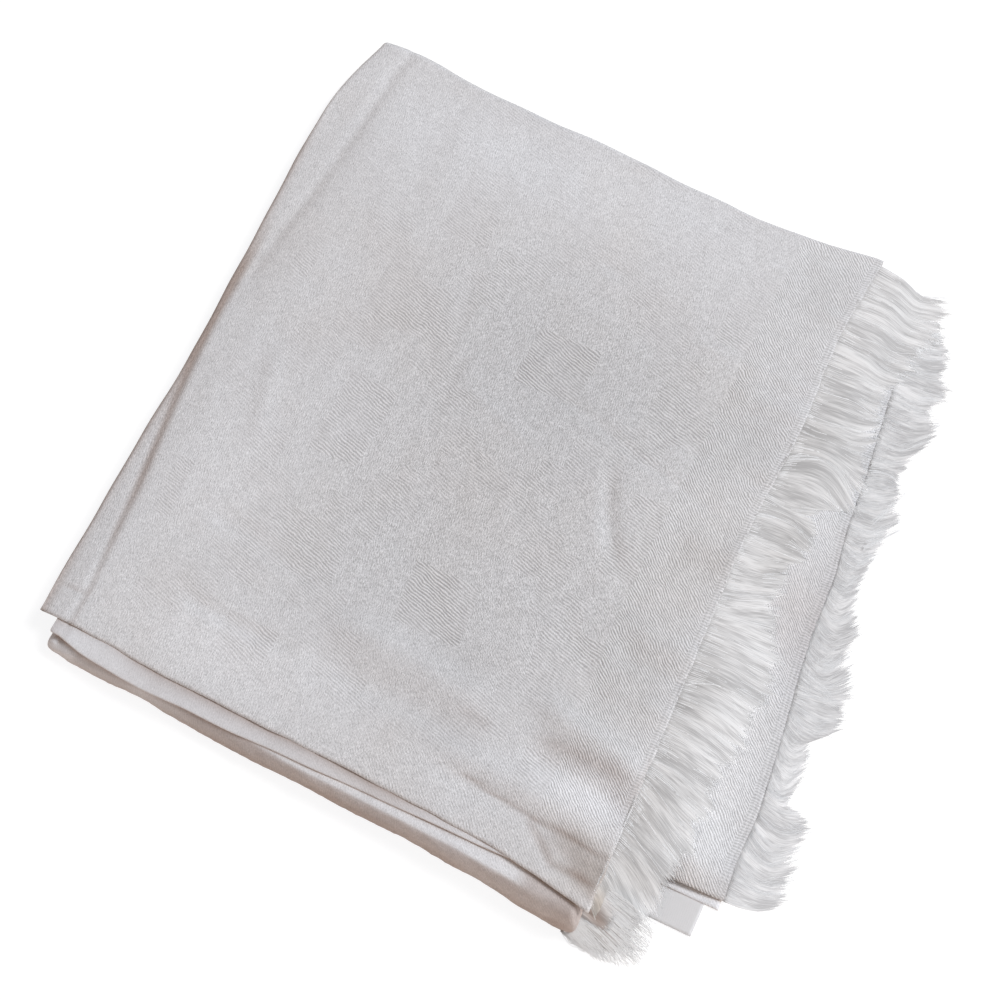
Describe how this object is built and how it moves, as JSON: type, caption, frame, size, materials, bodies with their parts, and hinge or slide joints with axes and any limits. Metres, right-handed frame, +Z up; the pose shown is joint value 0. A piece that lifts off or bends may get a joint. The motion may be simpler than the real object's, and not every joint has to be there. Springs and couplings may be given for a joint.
{
  "type": "ihram cloth, folded",
  "caption": "White woven ihram cloth with self-fringed ends, folded flat into a soft layered pad that rests on a surface.",
  "frame": {"origin": "bottom centre of the folded pad's box, on the surface it rests on", "axes": "+Z up, +X along the warp towards the fringed side, +Y towards the back fold"},
  "size_m": [0.4886, 0.4982, 0.031],
  "materials": {
    "woven_cloth": "matt white cotton and viscose twill with tone-on-tone ribbed blocks",
    "fringe_yarn": "loose white yarn",
    "label_tape": "smooth pale tape, blank"
  },
  "bodies": {
    "root": {"under_layers": "woven_cloth", "top_panel": "woven_cloth", "second_panel": "woven_cloth", "lower_fold": "woven_cloth", "under_end_panel": "woven_cloth", "lower_end_panel": "woven_cloth", "top_fringe": "fringe_yarn", "under_fringe": "fringe_yarn", "corner_fringe": "fringe_yarn", "label": "label_tape"}
  },
  "joints": []
}
